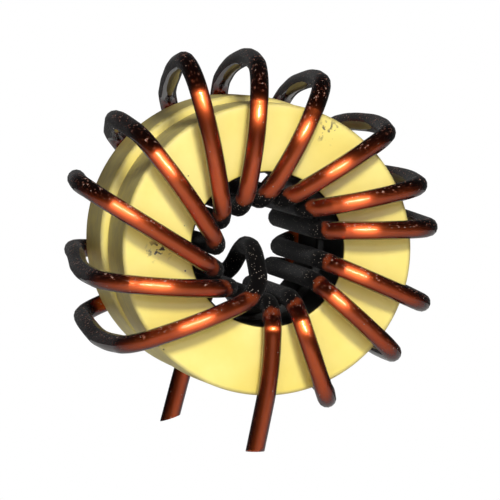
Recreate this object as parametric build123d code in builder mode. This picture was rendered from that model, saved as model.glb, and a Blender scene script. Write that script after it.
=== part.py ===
# A toroidal inductor: two painted powder-core rings stacked face to face, wound with one
# stiff enamelled copper wire. The core axis is Y, the front face looks along -Y, and the two
# ends of the wire hang down as soldering leads. The origin is on the axis of the front ring,
# where the two rings meet. Sizes are in millimetres, angles in degrees counted from +X
# towards +Z, as seen from the front.

import os
from collections import namedtuple
from math import cos, pi, radians, sin, sqrt, tan

from build123d import *

# Core rings
core_diameter = 33.0
bore_diameter = 17.2
ring_height = 11.1
edge_round = 0.4
# The rear ring was stacked a little to the left and high.
rear_shift_x = -0.8
rear_shift_z = 0.7

# Wire
wire_diameter = 2.1
# Clear gaps between the wire and the core: over the faces, in the bore and at its edge.
face_gap = 0.6
bore_gap = 1.35
edge_gap = 0.3

# Over the front face each turn bulges: how far along the way from the rim to the bore, and
# how much farther from the face than at its ends.
bulge_share = 0.5
bulge_height = 1.2

# Bends between two runs of wire: the share of the shorter run that an arc uses up, and the
# largest radius over the front face and in the bore, over the rim, round the rim's rear edge
# and along the leads.
bend_share = 0.46
largest_bend = 12.0
rim_bend = 45.0
rear_bend = 4.2
lead_bend = 60.0

# Leads, as positions across and height below the core's axis
front_lead_bend_x = 0.05
front_lead_bend_z = -14.0
front_tip_x = -1.75
front_tip_z = -22.6
back_lead_bend_x = -5.85
back_lead_bend_z = -16.0
back_tip_x = -7.1
back_tip_z = -20.7
# The cutters took the back lead off at a slant.
back_cut_tilt = 18.0
cut_allowance = 2.5

# Each loop outside the core, in winding order: its angle at the front corner, over the rim
# and at the rear corner; how far the wire's centre stands off the rim at its front, crown,
# shoulder and rear corners; the angle at which the wire then runs back through the bore, how
# far it is pulled in from its neighbours there, and how far it sways sideways on its way over
# the front face.
Loop = namedtuple(
    "Loop",
    "front_angle crown_angle rear_angle front_off crown_off shoulder_off rear_off bore_angle bore_in sway",
)
loops = [
    Loop(291, 296.5, 303, 1.75, 1.8, 1.7, 1.7, 296, 0, -0.2),
    Loop(320.5, 321, 323, 2.2, 2.2, 2.1, 1.8, 326, 0, 0),
    Loop(340.5, 342, 343, 2.45, 2.4, 2.1, 1.9, 348.5, 0, 0),
    Loop(7, 8, 8, 2.3, 2.4, 2.2, 2.0, 17.5, 0, 0),
    Loop(22, 23.5, 22, 2.2, 2.9, 2.4, 2.0, 43, 0, -0.1),
    Loop(43.5, 44, 44.5, 2.2, 3.6, 2.7, 1.5, 67, 0, 0.15),
    Loop(71.5, 70.5, 65.5, 3.0, 4.0, 2.6, 1.2, 90, 0, -0.1),
    Loop(93, 92, 91, 3.8, 5.4, 3.4, 0.9, 117, 0.7, 0),
    Loop(113, 114, 112, 7.0, 6.1, 3.0, 0.8, 141, 0, -0.1),
    Loop(138.5, 137.5, 137.5, 2.8, 5.5, 2.7, 1.0, 169, 0.75, 0.1),
    Loop(161, 159, 161, 6.2, 5.6, 2.95, 0.9, 198.5, 0, 0.2),
    Loop(190, 187, 184, 2.9, 3.9, 2.1, 1.3, 221, 0, 0.5),
    Loop(213.5, 210.5, 208, 2.7, 4.2, 3.4, 2.4, 232, 0, 0.3),
]
lead_bore_angle = 273.5
# Where along the core's axis a loop's corners lie: the front and rear ones beyond the wire's
# runs over the faces, the crown in front of the seam and the shoulder behind it.
front_rise = 0.3
crown_depth = -3.5
shoulder_depth = 5.5
rear_rise = 1.6

# The last turn doesn't lie against the bore: it arches through the hole.
arch_x = -1.0
arch_entry_z = -5.1
arch_front_depth = -8.0
arch_front_z = 0.0
arch_rear_depth = 3.0
arch_rear_z = -0.2
arch_foot_x = -1.6
arch_foot_depth = 6.0
arch_foot_z = -3.3
arch_exit_x = -2.2
arch_exit_z = -3.5

# Worked out from the sizes above
core_radius = core_diameter / 2
bore_radius = bore_diameter / 2
wire_radius = wire_diameter / 2
face_off = face_gap + wire_radius
face_depth = ring_height + face_off
bore_run_radius = bore_radius - bore_gap - wire_radius
rear_shift = Vector(rear_shift_x, 0, rear_shift_z)


def around(radius, angle, depth):
    """A point at a radius and an angle round the core's axis, at a depth along it."""
    return Vector(radius * cos(radians(angle)), depth, radius * sin(radians(angle)))


def bend_radius(before, corner, after, limit):
    """The radius of the arc at a corner: as large as its two runs allow, up to a limit."""
    into = corner - before
    out_of = after - corner
    half_turn = radians(into.get_angle(out_of)) / 2
    roomiest = bend_share * min(into.length, out_of.length) / tan(half_turn)
    return min(roomiest, limit)


def clearing_bend(first_off, second_off):
    """The largest right-angled bend that still clears a core edge, from how far its two runs
    stand off the edge."""
    first_spare = first_off - wire_radius - edge_gap
    second_spare = second_off - wire_radius - edge_gap
    return first_off + second_spare + sqrt(2 * first_spare * second_spare)


# The corners of the wire's route, from the cut end of the front lead to that of the back
# lead, each with the largest radius that its bend may have
front_bend = Vector(front_lead_bend_x, -face_depth, front_lead_bend_z)
front_tip = Vector(front_tip_x, -face_depth, front_tip_z)
back_bend = Vector(back_lead_bend_x, face_depth, back_lead_bend_z)
back_tip = Vector(back_tip_x, face_depth, back_tip_z)
front_end = front_tip + (front_tip - front_bend).normalized() * cut_allowance
back_end = back_tip + (back_tip - back_bend).normalized() * cut_allowance

bore_bend = clearing_bend(bore_gap + wire_radius, face_off)
route = [(front_end, 0), (front_bend, lead_bend)]
bore_corner = around(bore_run_radius, lead_bore_angle, -face_depth)
for loop in loops:
    route.append((bore_corner, bore_bend))
    route.append((bore_corner + Vector(0, 2 * face_depth, 0) + rear_shift, bore_bend))
    rear_corner = around(core_radius + loop.rear_off, loop.rear_angle, face_depth + rear_rise)
    route.append((rear_corner + rear_shift, rear_bend))
    shoulder_angle = (loop.crown_angle + loop.rear_angle) / 2
    shoulder = around(core_radius + loop.shoulder_off, shoulder_angle, shoulder_depth)
    route.append((shoulder + rear_shift, rim_bend))
    route.append((around(core_radius + loop.crown_off, loop.crown_angle, crown_depth), rim_bend))
    front_corner = around(core_radius + loop.front_off, loop.front_angle, -face_depth - front_rise)
    route.append((front_corner, clearing_bend(loop.front_off, face_off + front_rise)))
    if loop is loops[-1]:
        bore_corner = Vector(arch_x, -face_depth, arch_entry_z)
    else:
        bore_corner = around(bore_run_radius - loop.bore_in, loop.bore_angle, -face_depth)
    bulge = front_corner + (bore_corner - front_corner) * bulge_share
    sideways = Vector(-bulge.Z, 0, bulge.X).normalized()
    route.append((bulge + sideways * loop.sway - Vector(0, bulge_height, 0), largest_bend))
route.append((bore_corner, largest_bend))
route.append((Vector(arch_x, arch_front_depth, arch_front_z), largest_bend))
route.append((Vector(arch_x, arch_rear_depth, arch_rear_z), largest_bend))
route.append((Vector(arch_foot_x, arch_foot_depth, arch_foot_z), largest_bend))
route.append((Vector(arch_exit_x, face_depth, arch_exit_z), bore_bend))
route.append((back_bend, lead_bend))
route.append((back_end, 0))

corners = [corner for corner, limit in route]
bends = [
    bend_radius(route[i - 1][0], route[i][0], route[i + 1][0], route[i][1])
    for i in range(1, len(route) - 1)
]

os.makedirs("parts", exist_ok=True)

# The two core rings: plain flat rings with softly rounded edges
for node, middle in (
    ("front_core_ring", Vector(0, -ring_height / 2, 0)),
    ("rear_core_ring", Vector(rear_shift_x, ring_height / 2, rear_shift_z)),
):
    with BuildPart() as core_ring:
        with BuildSketch(Plane(origin=middle, x_dir=(1, 0, 0), z_dir=(0, 0, 1))) as section:
            with Locations(((core_radius + bore_radius) / 2, 0)):
                Rectangle(core_radius - bore_radius, ring_height)
            fillet(section.vertices(), radius=edge_round)
        revolve(axis=Axis(middle, (0, 1, 0)))
    core_ring.part.label = node
    export_step(core_ring.part, f"parts/{node}.step")

# The winding: one wire swept along its whole route, with its two ends cut off
with BuildPart() as winding:
    with BuildLine() as wire_line:
        FilletPolyline(*corners, radius=bends)
    with BuildSketch(Plane(origin=front_end, z_dir=front_bend - front_end)):
        Circle(wire_radius)
    sweep()
    with BuildSketch(Plane.XY.offset(front_tip_z)):
        with Locations((front_tip_x, -face_depth)):
            Rectangle(4 * wire_diameter, 2 * wire_diameter)
    extrude(amount=-2 * cut_allowance, mode=Mode.SUBTRACT)
    back_cut = Plane(origin=back_tip, x_dir=(1, 0, 0), z_dir=(0, 0, 1)).rotated((0, -back_cut_tilt, 0))
    with BuildSketch(back_cut):
        Rectangle(4 * wire_diameter, 2 * wire_diameter)
    extrude(amount=-2 * cut_allowance, mode=Mode.SUBTRACT)
winding.part.label = "winding"
export_step(winding.part, "parts/winding.step")

wire_length = wire_line.wire().length
print(f"wire length {wire_length:.1f}, tightest bend {min(bends):.2f}")
print(f"volume {winding.part.volume:.1f}, section times length {pi * wire_radius ** 2 * wire_length:.1f}")
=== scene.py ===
"""A toroidal inductor: two painted powder-core rings wound with one stiff enamelled copper
wire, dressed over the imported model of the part. Names that end in _MM and the wire's route are
in millimetres, and all other lengths are in metres. The core's axis is Y and its front face
looks along -Y."""

from collections import namedtuple
from math import cos, pi, radians, sin, sqrt, tan

import bmesh
import bpy
from mathutils import Matrix, Vector


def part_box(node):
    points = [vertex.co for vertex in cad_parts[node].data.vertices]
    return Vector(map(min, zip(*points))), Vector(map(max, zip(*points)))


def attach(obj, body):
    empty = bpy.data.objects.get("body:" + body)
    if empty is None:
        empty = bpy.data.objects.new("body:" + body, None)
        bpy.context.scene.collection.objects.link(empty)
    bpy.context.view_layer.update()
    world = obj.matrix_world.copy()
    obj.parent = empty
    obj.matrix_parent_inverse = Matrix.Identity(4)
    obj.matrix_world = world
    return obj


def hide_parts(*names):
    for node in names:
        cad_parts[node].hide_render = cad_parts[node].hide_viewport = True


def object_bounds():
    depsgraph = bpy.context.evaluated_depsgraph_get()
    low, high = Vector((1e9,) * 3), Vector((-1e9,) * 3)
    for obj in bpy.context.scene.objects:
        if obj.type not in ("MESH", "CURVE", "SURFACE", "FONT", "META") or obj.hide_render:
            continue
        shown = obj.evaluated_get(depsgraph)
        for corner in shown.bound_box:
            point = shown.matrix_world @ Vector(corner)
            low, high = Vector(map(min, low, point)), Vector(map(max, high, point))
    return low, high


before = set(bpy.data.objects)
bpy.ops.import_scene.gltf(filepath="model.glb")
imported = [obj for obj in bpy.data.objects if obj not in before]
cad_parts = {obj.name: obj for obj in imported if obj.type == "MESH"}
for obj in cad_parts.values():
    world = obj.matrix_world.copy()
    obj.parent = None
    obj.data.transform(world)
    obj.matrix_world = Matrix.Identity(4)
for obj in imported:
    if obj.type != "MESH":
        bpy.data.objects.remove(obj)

bl_info = {
    "name": "Toroidal Inductor",
    "version": (1, 0, 0),
    "blender": (4, 5, 0),
    "location": "View3D > Sidebar > Inductor",
    "description": "Dresses the packed toroidal inductor and lights it in a small studio",
    "category": "Object",
}

MM = 0.001
BODY = "root"
CAD_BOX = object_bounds()
FRONT_LOW, FRONT_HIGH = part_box("front_core_ring")
REAR_LOW, REAR_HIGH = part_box("rear_core_ring")
FRONT_MIDDLE = (FRONT_LOW + FRONT_HIGH) / 2
REAR_MIDDLE = (REAR_LOW + REAR_HIGH) / 2
# Two smudges of dirt on the front face
SMUDGES = (
    Vector((-12.4 * MM, FRONT_LOW.y, 0)),
    Vector((7.0 * MM, FRONT_LOW.y, 13.2 * MM)),
)

# The floor's radius, and how far the photo's middle lies to the left of the middle of the front
# face and under it
FLOOR_RADIUS = 0.3
PHOTO_LEFT = 1.98 * MM
PHOTO_LOW = 0.08 * MM

# The lights: the azimuth and elevation of each in degrees, and its power in watts
Softbox = namedtuple("Softbox", "name azimuth elevation distance width height power")
PAINT_LIGHTS = (
    Softbox("key_light", 0, 29, 0.75, 0.12, 0.12, 4.2),
    Softbox("front_fill", -10, 12, 1.2, 1.4, 1.1, 6.0),
    Softbox("back_fill", 175, 20, 1.2, 1.4, 1.1, 6.0),
)
GLINT_LIGHT = Softbox("glint_light", 0, 16.5, 0.75, 0.24, 0.07, 3.8)

# The direction from which the pale table top shines on the part
TABLE_WAY = (0, -0.8, -0.6)


# Settings


class CoreSettings(bpy.types.PropertyGroup):
    """The two stacked rings and their paint."""

    diameter: bpy.props.FloatProperty(
        name="Outer Diameter",
        description="Diameter of both rings over their paint",
        default=FRONT_HIGH.x - FRONT_LOW.x,
        unit="LENGTH",
    )
    bore: bpy.props.FloatProperty(
        name="Bore Diameter",
        description="Diameter of the hole through both rings",
        default=17.2 * MM,
        unit="LENGTH",
    )
    height: bpy.props.FloatProperty(
        name="Ring Height",
        description="Height of one ring along the core's axis",
        default=FRONT_HIGH.y - FRONT_LOW.y,
        unit="LENGTH",
    )
    edge_round: bpy.props.FloatProperty(
        name="Edge Rounding",
        description="Radius of the rings' edges",
        default=0.4 * MM,
        unit="LENGTH",
    )
    steps: bpy.props.IntProperty(
        name="Steps",
        description="Steps round each ring",
        default=288,
        min=24,
    )
    paint: bpy.props.StringProperty(
        name="Paint",
        description="Colour of the core's paint, as sRGB hex",
        default="#F3E27C",
    )
    thick_paint: bpy.props.StringProperty(
        name="Thick Paint",
        description="Colour of the paint where it lies thicker, as sRGB hex",
        default="#EBD664",
    )
    # Painted shade: the dark colour painted on the bore's wall and at the seam's step
    bore_wall_shade: bpy.props.StringProperty(
        name="Bore Paint",
        description="Colour of the dark wall of the bore, as sRGB hex",
        default="#1A1812",
    )


class WireSettings(bpy.types.PropertyGroup):
    """The winding."""

    diameter: bpy.props.FloatProperty(
        name="Wire Diameter",
        description="Diameter of the wire over its enamel",
        default=2.1 * MM,
        unit="LENGTH",
    )
    enamel: bpy.props.StringProperty(
        name="Enamel",
        description="Colour of the copper seen through its enamel, as sRGB hex",
        default="#F97838",
    )
    thick_enamel: bpy.props.StringProperty(
        name="Thick Enamel",
        description="Colour of the copper where the enamel lies thicker, as sRGB hex",
        default="#E05C34",
    )
    copper: bpy.props.StringProperty(
        name="Bare Copper",
        description="Colour of the copper where the wire was cut, as sRGB hex",
        default="#D08C6A",
    )


class StudioSettings(bpy.types.PropertyGroup):
    """The floor, the lights and the camera."""

    azimuth: bpy.props.FloatProperty(
        name="Camera Azimuth",
        description="Angle of the camera round the part, from the front",
        default=radians(-10.5),
        subtype="ANGLE",
    )
    elevation: bpy.props.FloatProperty(
        name="Camera Elevation",
        description="Angle of the camera above the horizon",
        default=radians(2.49),
        subtype="ANGLE",
    )
    distance: bpy.props.FloatProperty(
        name="Camera Distance",
        description="Distance from the camera to the middle of the front face",
        default=562.2 * MM,
        unit="LENGTH",
    )
    lens: bpy.props.FloatProperty(
        name="Focal Length",
        description="Focal length of the camera, in millimetres",
        default=360.0,
        subtype="DISTANCE_CAMERA",
    )
    floor_drop: bpy.props.FloatProperty(
        name="Floor Drop",
        description="How far the floor lies under the tips of the leads",
        default=40 * MM,
        unit="LENGTH",
    )
    floor: bpy.props.StringProperty(
        name="Floor",
        description="Colour of the floor, as sRGB hex",
        default="#F2F2F0",
    )


# The wire's route: the part's own, but for a softer bend over the front face, turns that go
# into the bore a little farther round, and a tighter arch, all as the photo shows them

# Clear gaps between the wire and the core: over the faces, in the bore and at its edge
FACE_GAP_MM = 0.6
BORE_GAP_MM = 1.35
EDGE_GAP_MM = 0.3

# How far along the way over the front face each turn bulges, and by how much
BULGE_SHARE = 0.5
BULGE_HEIGHT_MM = 1.35

# Bends: the share of the shorter run that an arc uses up, and the largest radius in the arch,
# over the front face, over the rim, round its rear edge and along the leads
BEND_SHARE = 0.46
ARCH_BEND_MM = 12.0
FACE_BEND_MM = 30.0
RIM_BEND_MM = 45.0
REAR_BEND_MM = 4.2
LEAD_BEND_MM = 60.0

# Where along the core's axis a loop's crown and shoulder lie, and how far its rear corner lies
# behind the wire's run over the rear face
CROWN_DEPTH_MM = -3.5
SHOULDER_DEPTH_MM = 5.5
REAR_RISE_MM = 1.6

# The angle in degrees at which the front lead enters the bore, how much wire is cut off each
# lead, and the slant of the back lead's cut
LEAD_BORE_ANGLE = 273.5
CUT_ALLOWANCE_MM = 2.5
BACK_CUT_TILT = radians(18.0)

# The leads' bends and tips, and the last turn's arch through the hole: across and up, and
# for the arch's middle also along the core
FRONT_LEAD_BEND_MM = (0.05, -14.0)
FRONT_TIP_MM = (-1.75, -22.6)
BACK_LEAD_BEND_MM = (-5.85, -16.0)
BACK_TIP_MM = (-7.1, -20.7)
ARCH_ENTRY_MM = (-1.0, -5.1)
ARCH_MM = ((-1.0, -8.0, 0.0), (-0.6, 0.8, 0.1), (-1.5, 5.0, -3.3))
ARCH_EXIT_MM = (-2.2, -3.5)

# Each turn's angle at the front corner, over the rim and at the rear corner; how far the
# wire's centre stands off the rim at its front, crown, shoulder and rear corners; the angle at
# which it then runs back through the bore, how far it is pulled in from its neighbours at the
# bore's front, and how far it sways sideways on its way over the front face
Loop = namedtuple(
    "Loop",
    "front_angle crown_angle rear_angle front_off crown_off shoulder_off rear_off"
    " bore_angle bore_in sway",
)
LOOPS = [
    Loop(291, 296.5, 303, 1.75, 1.8, 1.7, 1.7, 296, 0, -0.2),
    Loop(320.5, 321, 323, 2.2, 2.2, 2.1, 1.8, 326, 0, 0),
    Loop(340.5, 342, 343, 2.45, 2.4, 2.1, 1.9, 348.5, 0, 0),
    Loop(7, 8, 8, 2.3, 2.4, 2.2, 2.0, 20, 0, -0.1),
    Loop(22, 23.5, 22, 2.2, 2.9, 2.4, 2.0, 46.5, 0, -0.2),
    Loop(43.5, 44, 44.5, 2.2, 3.6, 2.7, 1.5, 72.5, 0.4, -0.05),
    Loop(71.5, 70.5, 65.5, 3.0, 4.0, 2.6, 1.2, 97, 0.7, -0.35),
    Loop(93, 92, 91, 3.8, 5.4, 3.4, 0.9, 123.5, 0.75, -0.25),
    Loop(113, 114, 112, 7.0, 6.1, 3.0, 0.8, 148.5, 0.15, -0.35),
    Loop(138.5, 137.5, 137.5, 2.8, 5.5, 2.7, 1.0, 177, 0.6, -0.2),
    Loop(161, 159, 161, 6.2, 5.6, 2.95, 0.9, 202.5, 0, 0.05),
    Loop(190, 187, 184, 2.9, 3.9, 2.1, 1.3, 226, 0.2, 0.3),
    Loop(213.5, 210.5, 208, 2.7, 4.2, 3.4, 2.4, 232, 0, 0.3),
]


def around(radius, angle, depth):
    """A point at a radius and an angle in degrees round the core's axis, at a depth along it."""
    return Vector((radius * cos(radians(angle)), depth, radius * sin(radians(angle))))


def clearing_bend(first_off, second_off, wire_radius):
    """The largest right-angled bend that still clears a core edge."""
    first_spare = first_off - wire_radius - EDGE_GAP_MM
    second_spare = second_off - wire_radius - EDGE_GAP_MM
    return first_off + second_spare + sqrt(2 * first_spare * second_spare)


def wire_route(core, wire):
    """The corners of the wire's route with the largest bend of each, and its two cut points,
    all in millimetres."""
    core_radius = core.diameter / MM / 2
    wire_radius = wire.diameter / MM / 2
    face_off = FACE_GAP_MM + wire_radius
    face_depth = core.height / MM + face_off
    run_radius = core.bore / MM / 2 - BORE_GAP_MM - wire_radius
    bore_bend = clearing_bend(BORE_GAP_MM + wire_radius, face_off, wire_radius)
    rear_shift = (REAR_MIDDLE - FRONT_MIDDLE) / MM
    rear_shift.y = 0

    def on_front(place):
        return Vector((place[0], -face_depth, place[1]))

    def on_back(place):
        return Vector((place[0], face_depth, place[1]))

    front_bend, front_tip = on_front(FRONT_LEAD_BEND_MM), on_front(FRONT_TIP_MM)
    back_bend, back_tip = on_back(BACK_LEAD_BEND_MM), on_back(BACK_TIP_MM)
    route = [(front_tip + (front_tip - front_bend).normalized() * CUT_ALLOWANCE_MM, 0)]
    route.append((front_bend, LEAD_BEND_MM))
    bore_angle = LEAD_BORE_ANGLE
    bore_corner = around(run_radius, bore_angle, -face_depth)
    for loop in LOOPS:
        route.append((bore_corner, bore_bend))
        route.append((around(run_radius, bore_angle, face_depth) + rear_shift, bore_bend))
        rear_depth = face_depth + REAR_RISE_MM
        rear_corner = around(core_radius + loop.rear_off, loop.rear_angle, rear_depth)
        route.append((rear_corner + rear_shift, REAR_BEND_MM))
        shoulder_angle = (loop.crown_angle + loop.rear_angle) / 2
        shoulder = around(core_radius + loop.shoulder_off, shoulder_angle, SHOULDER_DEPTH_MM)
        route.append((shoulder + rear_shift, RIM_BEND_MM))
        crown = around(core_radius + loop.crown_off, loop.crown_angle, CROWN_DEPTH_MM)
        route.append((crown, RIM_BEND_MM))
        front_corner = around(core_radius + loop.front_off, loop.front_angle, -face_depth)
        route.append((front_corner, clearing_bend(loop.front_off, face_off, wire_radius)))
        if loop is LOOPS[-1]:
            bore_corner = on_front(ARCH_ENTRY_MM)
        else:
            bore_angle = loop.bore_angle
            bore_corner = around(run_radius - loop.bore_in, bore_angle, -face_depth)
        bulge = front_corner.lerp(bore_corner, BULGE_SHARE)
        sideways = Vector((-bulge.z, 0, bulge.x)).normalized()
        bulge += sideways * loop.sway - Vector((0, BULGE_HEIGHT_MM, 0))
        route.append((bulge, FACE_BEND_MM))
    route.append((bore_corner, ARCH_BEND_MM))
    route += [(Vector(place), ARCH_BEND_MM) for place in ARCH_MM]
    route.append((on_back(ARCH_EXIT_MM), bore_bend))
    route.append((back_bend, LEAD_BEND_MM))
    route.append((back_tip + (back_tip - back_bend).normalized() * CUT_ALLOWANCE_MM, 0))
    return route, front_tip, back_tip


def bent_wire(curve, route):
    """Adds the spline of a stiff wire along the route: straight runs, and a round bend at each
    corner that is as large as its two runs and its limit allow."""
    joints = [(route[0][0], None, None)]
    for (before, _), (corner, limit), (after, _) in zip(route, route[1:], route[2:]):
        into = corner - before
        out_of = after - corner
        half_turn = into.angle(out_of) / 2
        reach = min(BEND_SHARE * min(into.length, out_of.length), limit * tan(half_turn))
        handle = 4 / 3 * tan(half_turn / 2) * reach / tan(half_turn)
        start = corner - into.normalized() * reach
        end = corner + out_of.normalized() * reach
        joints.append((start, None, start + into.normalized() * handle))
        joints.append((end, end - out_of.normalized() * handle, None))
    joints.append((route[-1][0], None, None))

    spline = curve.splines.new("BEZIER")
    spline.bezier_points.add(len(joints) - 1)
    for i, (place, left, right) in enumerate(joints):
        before = joints[max(i - 1, 0)][0]
        after = joints[min(i + 1, len(joints) - 1)][0]
        point = spline.bezier_points[i]
        point.handle_left_type = "FREE"
        point.handle_right_type = "FREE"
        point.co = place * MM
        point.handle_left = (left or place.lerp(before, 1 / 3)) * MM
        point.handle_right = (right or place.lerp(after, 1 / 3)) * MM
    spline.resolution_u = 12


# Materials


def colour(code):
    """The linear RGBA of an sRGB hex colour."""
    channels = [int(code[i : i + 2], 16) / 255 for i in (1, 3, 5)]
    linear = [c / 12.92 if c <= 0.04045 else ((c + 0.055) / 1.055) ** 2.4 for c in channels]
    return (*linear, 1.0)


def per(size_mm):
    """The scale of a pattern on metres that repeats about once in a size in millimetres."""
    return 1 / (size_mm * MM)


def add(tree, kind, feeds=None, **settings):
    """Adds a node with its settings, and sets its inputs or links them to other sockets."""
    node = tree.nodes.new(kind)
    for name, value in settings.items():
        setattr(node, name, value)
    for socket, value in (feeds or {}).items():
        if isinstance(value, bpy.types.NodeSocket):
            tree.links.new(value, node.inputs[socket])
        else:
            node.inputs[socket].default_value = value
    return node


def new_material(name):
    """A material with an empty node tree."""
    material = bpy.data.materials.new(name)
    material.use_nodes = True
    material.node_tree.nodes.clear()
    return material, material.node_tree


def from_axis(tree, here, middle):
    """How far each point lies from an axis along Y through a middle."""
    flat = add(
        tree,
        "ShaderNodeMapping",
        {"Vector": here, "Location": (-middle.x, 0, -middle.z), "Scale": (1, 0, 1)},
    ).outputs[0]
    return add(tree, "ShaderNodeVectorMath", {0: flat}, operation="LENGTH").outputs["Value"]


def specks(tree, here, spacing_mm, size_mm, share):
    """A mask of round specks: one in a share of the cells of a loose pattern."""
    cells = add(tree, "ShaderNodeTexVoronoi", {"Vector": here, "Scale": per(spacing_mm)}).outputs
    edge = size_mm / 2 / spacing_mm
    dots = add(
        tree,
        "ShaderNodeMapRange",
        {"Value": cells["Distance"], "From Min": edge, "From Max": 0.6 * edge},
    ).outputs[0]
    chance = add(tree, "ShaderNodeSeparateColor", {0: cells["Color"]}).outputs[0]
    kept = add(tree, "ShaderNodeMath", {0: chance, 1: share}, operation="LESS_THAN").outputs[0]
    return add(tree, "ShaderNodeMath", {0: dots, 1: kept}, operation="MULTIPLY").outputs[0]


def powder_coat(name, core, middle, smudges):
    """Epoxy powder coat sprayed on a ring of pressed iron powder: an even, hard, pale yellow
    with a soft sheen, faintly dimpled by the grain under it, greyed in a mottle on the rim, with
    painted shade on the wall of the bore, and with a few specks and smudges of dirt on its face."""
    material, tree = new_material(name)
    here = add(tree, "ShaderNodeTexCoord").outputs["Object"]
    radius = from_axis(tree, here, middle)
    depth = add(tree, "ShaderNodeSeparateXYZ", {0: here}).outputs["Y"]

    # The coat is a little thicker, and so deeper in colour, in clouds some millimetres wide
    clouds = add(
        tree, "ShaderNodeTexNoise", {"Vector": here, "Scale": per(7), "Detail": 4.0}
    ).outputs[0]
    uneven = add(
        tree, "ShaderNodeMapRange", {"Value": clouds, "From Min": 0.35, "From Max": 0.65}
    ).outputs[0]
    paint = add(
        tree,
        "ShaderNodeMix",
        {0: uneven, 6: colour(core.thick_paint), 7: colour(core.paint)},
        data_type="RGBA",
    ).outputs[2]

    # A grey mottle on the rim
    on_rim = add(
        tree,
        "ShaderNodeMapRange",
        {
            "Value": radius,
            "From Min": core.diameter / 2 - 0.5 * MM,
            "From Max": core.diameter / 2 - 0.1 * MM,
            "To Max": 0.8,
        },
    ).outputs[0]
    # The noise that lays the grey mottle on the rim
    dust = add(
        tree, "ShaderNodeTexNoise", {"Vector": here, "Scale": per(1.5), "Detail": 8.0}
    ).outputs[0]
    greyed_rim = add(tree, "ShaderNodeMath", {0: dust, 1: on_rim}, operation="MULTIPLY").outputs[0]
    paint = add(
        tree, "ShaderNodeMix", {0: greyed_rim, 6: paint, 7: colour("#A89C84")}, data_type="RGBA"
    ).outputs[2]

    # Specks of dirt, drawn no finer than the picture can show, and the smudges
    dirt = specks(tree, here, spacing_mm=2.4, size_mm=0.26, share=0.35)
    for place in smudges:
        apart = add(
            tree, "ShaderNodeVectorMath", {0: here, 1: place}, operation="DISTANCE"
        ).outputs["Value"]
        near = add(
            tree, "ShaderNodeMapRange", {"Value": apart, "From Min": 1.7 * MM, "From Max": 0.6 * MM}
        ).outputs[0]
        strokes = add(
            tree, "ShaderNodeTexNoise", {"Vector": here, "Scale": per(0.55), "Detail": 2.0}
        ).outputs[0]
        worn = add(
            tree, "ShaderNodeMapRange", {"Value": strokes, "From Min": 0.54, "From Max": 0.62}
        ).outputs[0]
        smudge = add(tree, "ShaderNodeMath", {0: near, 1: worn}, operation="MULTIPLY").outputs[0]
        dirt = add(tree, "ShaderNodeMath", {0: dirt, 1: smudge}, operation="MAXIMUM").outputs[0]
    paint = add(
        tree, "ShaderNodeMix", {0: dirt, 6: paint, 7: colour("#3A3222")}, data_type="RGBA"
    ).outputs[2]

    # Painted shade: the wall of the bore is painted dark, and as dark the step that the two
    # bores make at the seam
    from_seam = add(tree, "ShaderNodeMath", {0: depth}, operation="ABSOLUTE").outputs[0]
    dark_edge = add(
        tree,
        "ShaderNodeMapRange",
        {
            "Value": from_seam,
            "From Min": 0.3 * MM,
            "From Max": 1.0 * MM,
            "To Min": core.bore / 2 + 1.6 * MM,
            "To Max": core.bore / 2 + 0.25 * MM,
        },
    ).outputs[0]
    inside = add(tree, "ShaderNodeMath", {0: dark_edge, 1: radius}, operation="SUBTRACT").outputs[0]
    in_bore = add(
        tree, "ShaderNodeMapRange", {"Value": inside, "From Min": 0.0, "From Max": 0.1 * MM}
    ).outputs[0]
    paint = add(
        tree, "ShaderNodeMix", {0: in_bore, 6: paint, 7: colour(core.bore_wall_shade)}, data_type="RGBA"
    ).outputs[2]

    # The grain of the pressed powder under the paint
    grain = add(
        tree, "ShaderNodeTexNoise", {"Vector": here, "Scale": per(0.5), "Detail": 3.0}
    ).outputs[0]
    dimples = add(
        tree, "ShaderNodeBump", {"Height": grain, "Strength": 0.3, "Distance": 0.03 * MM}
    ).outputs[0]
    sheen = add(
        tree, "ShaderNodeMapRange", {"Value": clouds, "To Min": 0.38, "To Max": 0.52}
    ).outputs[0]
    shader = add(
        tree,
        "ShaderNodeBsdfPrincipled",
        {"Base Color": paint, "Roughness": sheen, "IOR": 1.5, "Normal": dimples},
    ).outputs[0]
    add(tree, "ShaderNodeOutputMaterial", {"Surface": shader})
    return material


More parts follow.
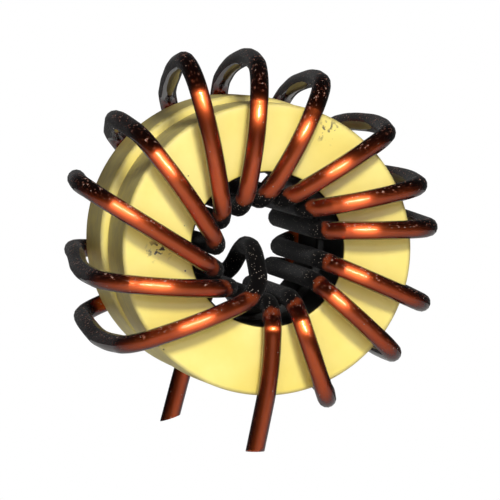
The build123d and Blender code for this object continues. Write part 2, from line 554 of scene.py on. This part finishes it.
def wire_enamel(wire, core):
    """Polyester enamel baked on drawn copper: a thin, hard, clear red-brown lacquer on metal.
    The die's fine lines run along the copper, so it glows orange across the wire where a light
    stands square to it, and is nearly black elsewhere. The lacquer adds a small white glint and
    darkens the wire towards its edges. Dust and scuffs lie on its upper sides, and in the bore
    the wire is painted black as shade."""
    material, tree = new_material("wire_enamel")
    here = add(tree, "ShaderNodeTexCoord").outputs["Object"]
    radius = from_axis(tree, here, FRONT_MIDDLE)
    depth = add(tree, "ShaderNodeSeparateXYZ", {0: here}).outputs["Y"]

    # The enamel is thicker in places some millimetres long
    tone = add(
        tree, "ShaderNodeTexNoise", {"Vector": here, "Scale": per(3), "Detail": 4.0}
    ).outputs[0]
    metal = add(
        tree,
        "ShaderNodeMix",
        {0: tone, 6: colour(wire.thick_enamel), 7: colour(wire.enamel)},
        data_type="RGBA",
    ).outputs[2]

    # Painted shade: the runs through the bore are painted black, where the bore shades them.
    # Over the bends at the bore's mouth it thins out raggedly, and the farther out from the face,
    # the nearer to the axis it ends.
    from_seam = add(tree, "ShaderNodeMath", {0: depth}, operation="ABSOLUTE").outputs[0]
    edge = add(
        tree,
        "ShaderNodeMapRange",
        {
            "Value": from_seam,
            "From Min": core.height + 0.2 * MM,
            "From Max": core.height + 2.6 * MM,
            "To Min": core.bore / 2 + 0.4 * MM,
            "To Max": core.bore / 2 - 3.0 * MM,
        },
    ).outputs[0]
    ragged = add(
        tree, "ShaderNodeTexNoise", {"Vector": here, "Scale": per(0.9), "Detail": 5.0}
    ).outputs[0]
    ragged_edge = add(
        tree, "ShaderNodeMath", {0: ragged, 1: 2.4 * MM, 2: edge}, operation="MULTIPLY_ADD"
    ).outputs[0]
    inside = add(
        tree, "ShaderNodeMath", {0: ragged_edge, 1: radius}, operation="SUBTRACT"
    ).outputs[0]
    bore_run_shade = add(
        tree, "ShaderNodeMapRange", {"Value": inside, "From Min": 0.3 * MM, "From Max": 2.1 * MM}
    ).outputs[0]

    # Pale specks of dust all over, and more of them in the painted shade in the bore. Real dust
    # is finer: these are drawn about as wide as one pixel of the picture.
    dust = specks(tree, here, spacing_mm=0.6, size_mm=0.15, share=0.25)
    grit = specks(tree, here, spacing_mm=0.32, size_mm=0.14, share=0.75)
    grit = add(tree, "ShaderNodeMath", {0: grit, 1: bore_run_shade}, operation="MULTIPLY").outputs[0]
    pale = add(tree, "ShaderNodeMath", {0: dust, 1: grit}, operation="MAXIMUM").outputs[0]

    # Scuffs and settled dust on the sides that look up, but not in the painted shade in the bore
    facing = add(tree, "ShaderNodeNewGeometry").outputs["True Normal"]
    upward = add(tree, "ShaderNodeSeparateXYZ", {0: facing}).outputs["Z"]
    lying = add(
        tree, "ShaderNodeMapRange", {"Value": upward, "From Min": 0.1, "From Max": 0.5}
    ).outputs[0]
    scuffs = add(
        tree,
        "ShaderNodeTexNoise",
        {"Vector": here, "Scale": per(0.4), "Detail": 5.0, "Roughness": 0.7},
    ).outputs[0]
    scuffed = add(
        tree, "ShaderNodeMapRange", {"Value": scuffs, "From Min": 0.57, "From Max": 0.66}
    ).outputs[0]
    scuffed = add(tree, "ShaderNodeMath", {0: scuffed, 1: lying}, operation="MULTIPLY").outputs[0]
    bare = add(tree, "ShaderNodeMath", {0: 1.0, 1: bore_run_shade}, operation="SUBTRACT").outputs[0]
    scuffed = add(tree, "ShaderNodeMath", {0: scuffed, 1: bare}, operation="MULTIPLY").outputs[0]
    pale = add(tree, "ShaderNodeMath", {0: pale, 1: scuffed}, operation="MAXIMUM").outputs[0]

    # Where there is neither painted shade nor dust, the surface is metal under clear lacquer; the
    # painted shade in the bore is near-black
    shade_and_dust = add(tree, "ShaderNodeMath", {0: bore_run_shade, 1: pale}, operation="MAXIMUM").outputs[0]
    open_metal = add(tree, "ShaderNodeMath", {0: 1.0, 1: shade_and_dust}, operation="SUBTRACT").outputs[0]
    surface = add(
        tree, "ShaderNodeMix", {0: bore_run_shade, 6: metal, 7: colour("#0C0B0B")}, data_type="RGBA"
    ).outputs[2]
    surface = add(
        tree, "ShaderNodeMix", {0: pale, 6: surface, 7: colour("#A89C90")}, data_type="RGBA"
    ).outputs[2]

    # The lacquer has run a little unevenly along the wire
    ripple = add(
        tree, "ShaderNodeTexNoise", {"Vector": here, "Scale": per(1.6), "Detail": 3.0}
    ).outputs[0]
    uneven = add(
        tree, "ShaderNodeBump", {"Height": ripple, "Strength": 0.2, "Distance": 0.05 * MM}
    ).outputs[0]
    satin = add(
        tree, "ShaderNodeMapRange", {"Value": tone, "To Min": 0.29, "To Max": 0.34}
    ).outputs[0]
    rough = add(
        tree, "ShaderNodeMapRange", {"Value": shade_and_dust, "To Min": satin, "To Max": 0.7}
    ).outputs[0]

    # The clear lacquer's gloss and depth show most where it is seen slantwise
    slant = add(tree, "ShaderNodeLayerWeight", {"Blend": 0.5}).outputs["Facing"]
    gloss = add(
        tree,
        "ShaderNodeMapRange",
        {"Value": slant, "From Min": 0.08, "From Max": 0.5, "To Min": 0.35, "To Max": 1.0},
    ).outputs[0]
    gloss = add(tree, "ShaderNodeMath", {0: gloss, 1: open_metal}, operation="MULTIPLY").outputs[0]

    # The die's lines run along the wire, as U does in the curve's own UV map, and a quarter
    # turn stretches the shine across them
    along = add(tree, "ShaderNodeTangent", direction_type="UV_MAP", uv_map="UVMap").outputs[0]
    shader = add(
        tree,
        "ShaderNodeBsdfPrincipled",
        {
            "Base Color": surface,
            "Metallic": open_metal,
            "Roughness": rough,
            "Anisotropic": 1.0,
            "Anisotropic Rotation": 0.25,
            "Tangent": along,
            "Coat Weight": gloss,
            "Coat Roughness": 0.06,
            "Coat IOR": 1.6,
            "Coat Tint": (0.2, 0.08, 0.06, 1.0),
            "Specular Tint": (0.12, 0.05, 0.04, 1.0),
            "Sheen Weight": 0.04,
            "Sheen Roughness": 0.5,
            "Normal": uneven,
            "Coat Normal": uneven,
        },
    ).outputs[0]
    add(tree, "ShaderNodeOutputMaterial", {"Surface": shader})
    return material


def cut_copper(wire):
    """Bare copper sheared off by side cutters: pink, bright metal with fine tear lines."""
    material, tree = new_material("cut_copper")
    here = add(tree, "ShaderNodeTexCoord").outputs["Object"]
    lines = add(
        tree,
        "ShaderNodeMapping",
        {"Vector": here, "Scale": (per(0.08), per(1.5), per(1.5))},
    ).outputs[0]
    tears = add(
        tree, "ShaderNodeTexNoise", {"Vector": lines, "Scale": 1.0, "Detail": 2.0}
    ).outputs[0]
    torn = add(
        tree, "ShaderNodeBump", {"Height": tears, "Strength": 0.5, "Distance": 0.03 * MM}
    ).outputs[0]
    shade = add(
        tree,
        "ShaderNodeMix",
        {0: tears, 6: colour("#9C5A3E"), 7: colour(wire.copper)},
        data_type="RGBA",
    ).outputs[2]
    shader = add(
        tree,
        "ShaderNodeBsdfPrincipled",
        {"Base Color": shade, "Metallic": 1.0, "Roughness": 0.4, "Normal": torn},
    ).outputs[0]
    add(tree, "ShaderNodeOutputMaterial", {"Surface": shader})
    return material


def matte_board(code):
    """White painted board: a plain matte floor with the faintest mottle."""
    material, tree = new_material("matte_board")
    here = add(tree, "ShaderNodeTexCoord").outputs["Object"]
    mottle = add(
        tree, "ShaderNodeTexNoise", {"Vector": here, "Scale": per(30), "Detail": 3.0}
    ).outputs[0]
    shade = add(
        tree, "ShaderNodeMix", {0: mottle, 6: colour("#EEEEEC"), 7: colour(code)}, data_type="RGBA"
    ).outputs[2]
    shader = add(
        tree, "ShaderNodeBsdfPrincipled", {"Base Color": shade, "Roughness": 0.9}
    ).outputs[0]
    add(tree, "ShaderNodeOutputMaterial", {"Surface": shader})
    return material


# Pieces


def new_piece(name, bm, slot, node, *materials):
    """Makes a smooth piece of a bmesh that rides with the body and stands for a CAD node."""
    mesh = bpy.data.meshes.new(name)
    bm.to_mesh(mesh)
    bm.free()
    mesh.shade_smooth()
    for material in materials:
        mesh.materials.append(material)
    piece = bpy.data.objects.new(name, mesh)
    bpy.context.scene.collection.objects.link(piece)
    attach(piece, BODY)
    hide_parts(node)
    return piece


def core_ring(core, middle):
    """A flat ring with rounded edges, spun from its section round the core's axis."""
    bm = bmesh.new()
    wall = (core.diameter - core.bore) / 2
    section_middle = middle + Vector(((core.bore + wall) / 2, 0, 0))
    bmesh.ops.create_grid(bm, x_segments=1, y_segments=1, size=0.5)
    bmesh.ops.scale(bm, verts=bm.verts, vec=(wall, core.height, 1))
    bmesh.ops.translate(bm, verts=bm.verts, vec=section_middle)
    bmesh.ops.bevel(
        bm,
        geom=bm.verts,
        offset=core.edge_round,
        affect="VERTICES",
        segments=6,
        profile=0.5,
        material=-1,
    )
    bmesh.ops.delete(bm, geom=bm.faces, context="FACES_ONLY")
    long_sides = [edge for edge in bm.edges if edge.calc_length() > core.edge_round]
    bmesh.ops.subdivide_edges(bm, edges=long_sides, cuts=9)
    bmesh.ops.spin(
        bm,
        geom=bm.verts[:] + bm.edges[:],
        cent=middle,
        axis=(0, 1, 0),
        angle=2 * pi,
        steps=core.steps,
        use_merge=True,
    )
    bmesh.ops.remove_doubles(bm, verts=bm.verts, dist=0.001 * MM)
    bmesh.ops.recalc_face_normals(bm, faces=bm.faces)
    return bm


class INDUCTOR_OT_core_rings(bpy.types.Operator):
    """Makes the two painted powder-core rings"""

    bl_idname = "inductor.core_rings"
    bl_label = "Core Rings"

    def execute(self, context):
        core = context.scene.inductor_core
        for node, middle in (("front_core_ring", FRONT_MIDDLE), ("rear_core_ring", REAR_MIDDLE)):
            paint = powder_coat(node + "_powder_coat", core, middle, SMUDGES)
            ring = core_ring(core, middle)
            piece = new_piece("painted_" + node, ring, "core_paint", node, paint)
            # Shades the flat faces as flat, right up to their rounded edges
            flats = piece.modifiers.new("flat_faces", "WEIGHTED_NORMAL")
            flats.weight = 100
        return {"FINISHED"}


class INDUCTOR_OT_winding(bpy.types.Operator):
    """Makes the winding, one enamelled wire with two cut ends"""

    bl_idname = "inductor.winding"
    bl_label = "Winding"

    def execute(self, context):
        core = context.scene.inductor_core
        wire = context.scene.inductor_wire
        route, front_tip, back_tip = wire_route(core, wire)
        curve = bpy.data.curves.new("wire_line", "CURVE")
        curve.dimensions = "3D"
        curve.twist_mode = "MINIMUM"
        curve.bevel_depth = wire.diameter / 2
        curve.bevel_resolution = 5
        bent_wire(curve, route)
        line = bpy.data.objects.new("wire_line", curve)
        context.scene.collection.objects.link(line)
        context.view_layer.update()
        mesh = line.to_mesh()
        bm = bmesh.new()
        bm.from_mesh(mesh)
        line.to_mesh_clear()
        bpy.data.objects.remove(line)
        if not bm.faces:
            raise RuntimeError("the wire has no surface")

        tilted = Matrix.Rotation(-BACK_CUT_TILT, 3, "Y")
        cuts = (
            (front_tip * MM, Vector((0, 0, -1)), -1),
            (back_tip * MM, tilted @ Vector((0, 0, -1)), 1),
        )
        for tip, outwards, side in cuts:
            # The cut takes in all the wire on the lead's own side of the core. A known fault: the
            # back cut so shaves the underside of the first turn as well, and both openings that
            # it makes, there and at the lead's end, stay without a face.
            near = [face for face in bm.faces if face.calc_center_median().y * side > core.height]
            geom = list({v for face in near for v in face.verts})
            geom += list({e for face in near for e in face.edges}) + near
            cut = bmesh.ops.bisect_plane(
                bm, geom=geom, plane_co=tip, plane_no=outwards, clear_outer=True
            )
            rim = [e for e in cut["geom_cut"] if isinstance(e, bmesh.types.BMEdge)]
            if not rim:
                raise RuntimeError("the cut missed the lead")
            end = bmesh.ops.edgeloop_fill(bm, edges=rim, mat_nr=1)
            for face in end["faces"]:
                face.smooth = False
        bmesh.ops.recalc_face_normals(bm, faces=bm.faces)
        enamel, copper = wire_enamel(wire, core), cut_copper(wire)
        new_piece("enamelled_wire", bm, "wire_enamel", "winding", enamel, copper)
        return {"FINISHED"}


def put(obj, place, turn):
    """Puts a light or the camera at a place, turned as it should be."""
    obj.matrix_world = Matrix.Translation(place) @ turn.to_matrix().to_4x4()


def towards(azimuth, elevation):
    """The direction from the part to a place at an azimuth and elevation in radians."""
    return Vector((sin(azimuth) * cos(elevation), -cos(azimuth) * cos(elevation), sin(elevation)))


def area_light(box):
    """An area light that faces the part, as a soft box has it."""
    light = bpy.data.lights.new(box.name, "AREA")
    light.shape = "RECTANGLE"
    light.size = box.width
    light.size_y = box.height
    light.energy = box.power
    lamp = bpy.data.objects.new(box.name, light)
    bpy.context.scene.collection.objects.link(lamp)
    place = towards(radians(box.azimuth), radians(box.elevation)) * box.distance
    put(lamp, place, (-place).to_track_quat("-Z", "Y"))
    return lamp


def white_sweep():
    """A white sweep behind the part, as the camera sees it. The part mirrors a dim room: it is
    bright in front and low down, where a pale table top throws its light back, and the sweep
    lights it faintly from behind."""
    world = bpy.data.worlds.new("white_sweep")
    world.use_nodes = True
    tree = world.node_tree
    tree.nodes.clear()
    direction = add(tree, "ShaderNodeTexCoord").outputs["Generated"]
    to_table = add(
        tree, "ShaderNodeVectorMath", {0: direction, 1: TABLE_WAY}, operation="DOT_PRODUCT"
    ).outputs["Value"]
    table = add(
        tree,
        "ShaderNodeMapRange",
        {"Value": to_table, "From Min": 0.7, "From Max": 0.97, "To Min": 0.01, "To Max": 1.15},
    ).outputs[0]
    behind = add(tree, "ShaderNodeSeparateXYZ", {0: direction}).outputs["Y"]
    sweep = add(
        tree,
        "ShaderNodeMapRange",
        {"Value": behind, "From Min": 0.5, "From Max": 0.9, "To Max": 0.05},
    ).outputs[0]
    room = add(tree, "ShaderNodeMath", {0: table, 1: sweep}, operation="MAXIMUM").outputs[0]
    seen = add(tree, "ShaderNodeLightPath").outputs["Is Camera Ray"]
    dim = add(tree, "ShaderNodeBackground", {"Color": (1, 1, 1, 1), "Strength": room}).outputs[0]
    white = add(tree, "ShaderNodeBackground", {"Color": (1, 1, 1, 1), "Strength": 1.0}).outputs[0]
    mixed = add(tree, "ShaderNodeMixShader", {0: seen, 1: dim, 2: white}).outputs[0]
    add(tree, "ShaderNodeOutputWorld", {"Surface": mixed})
    return world


class INDUCTOR_OT_studio(bpy.types.Operator):
    """Makes the floor, the lights, the white backdrop and the camera"""

    bl_idname = "inductor.studio"
    bl_label = "Studio"

    def execute(self, context):
        scene = context.scene
        studio = scene.inductor_studio

        bm = bmesh.new()
        bmesh.ops.create_circle(bm, cap_ends=True, radius=FLOOR_RADIUS, segments=96)
        bmesh.ops.translate(bm, verts=bm.verts, vec=(0, 0, CAD_BOX[0].z - studio.floor_drop))
        mesh = bpy.data.meshes.new("floor")
        bm.to_mesh(mesh)
        bm.free()
        mesh.materials.append(matte_board(studio.floor))
        floor = bpy.data.objects.new("floor", mesh)
        scene.collection.objects.link(floor)

        # Three soft boxes light the paint, and a long low one makes the glints on the wire
        for box in PAINT_LIGHTS:
            area_light(box).visible_glossy = False
        area_light(GLINT_LIGHT).visible_diffuse = False
        scene.world = white_sweep()

        camera = bpy.data.cameras.new("camera")
        camera.lens = studio.lens
        camera.clip_end = 10
        view = bpy.data.objects.new("camera", camera)
        scene.collection.objects.link(view)
        back = towards(studio.azimuth, studio.elevation)
        turn = (-back).to_track_quat("-Z", "Y")
        right = turn @ Vector((1, 0, 0))
        up = turn @ Vector((0, 1, 0))
        face_middle = Vector((0, FRONT_LOW.y, 0))
        place = face_middle - right * PHOTO_LEFT - up * PHOTO_LOW + back * studio.distance
        put(view, place, turn)
        scene.camera = view
        scene.view_settings.view_transform = "Standard"
        return {"FINISHED"}


class INDUCTOR_PT_panel(bpy.types.Panel):
    """The inductor's pieces and settings"""

    bl_idname = "INDUCTOR_PT_panel"
    bl_label = "Toroidal Inductor"
    bl_space_type = "VIEW_3D"
    bl_region_type = "UI"
    bl_category = "Inductor"

    def draw(self, context):
        layout = self.layout
        groups = (
            (INDUCTOR_OT_core_rings, context.scene.inductor_core),
            (INDUCTOR_OT_winding, context.scene.inductor_wire),
            (INDUCTOR_OT_studio, context.scene.inductor_studio),
        )
        for operator, settings in groups:
            box = layout.box()
            for name in settings.__annotations__:
                box.prop(settings, name)
            box.operator(operator.bl_idname)


CLASSES = (
    CoreSettings,
    WireSettings,
    StudioSettings,
    INDUCTOR_OT_core_rings,
    INDUCTOR_OT_winding,
    INDUCTOR_OT_studio,
    INDUCTOR_PT_panel,
)


def register():
    for cls in CLASSES:
        bpy.utils.register_class(cls)
    bpy.types.Scene.inductor_core = bpy.props.PointerProperty(type=CoreSettings)
    bpy.types.Scene.inductor_wire = bpy.props.PointerProperty(type=WireSettings)
    bpy.types.Scene.inductor_studio = bpy.props.PointerProperty(type=StudioSettings)


def unregister():
    del bpy.types.Scene.inductor_studio
    del bpy.types.Scene.inductor_wire
    del bpy.types.Scene.inductor_core
    for cls in reversed(CLASSES):
        bpy.utils.unregister_class(cls)


def main():
    register()
    bpy.ops.inductor.core_rings()
    bpy.ops.inductor.winding()
    bpy.ops.inductor.studio()


if __name__ == "__main__":
    main()
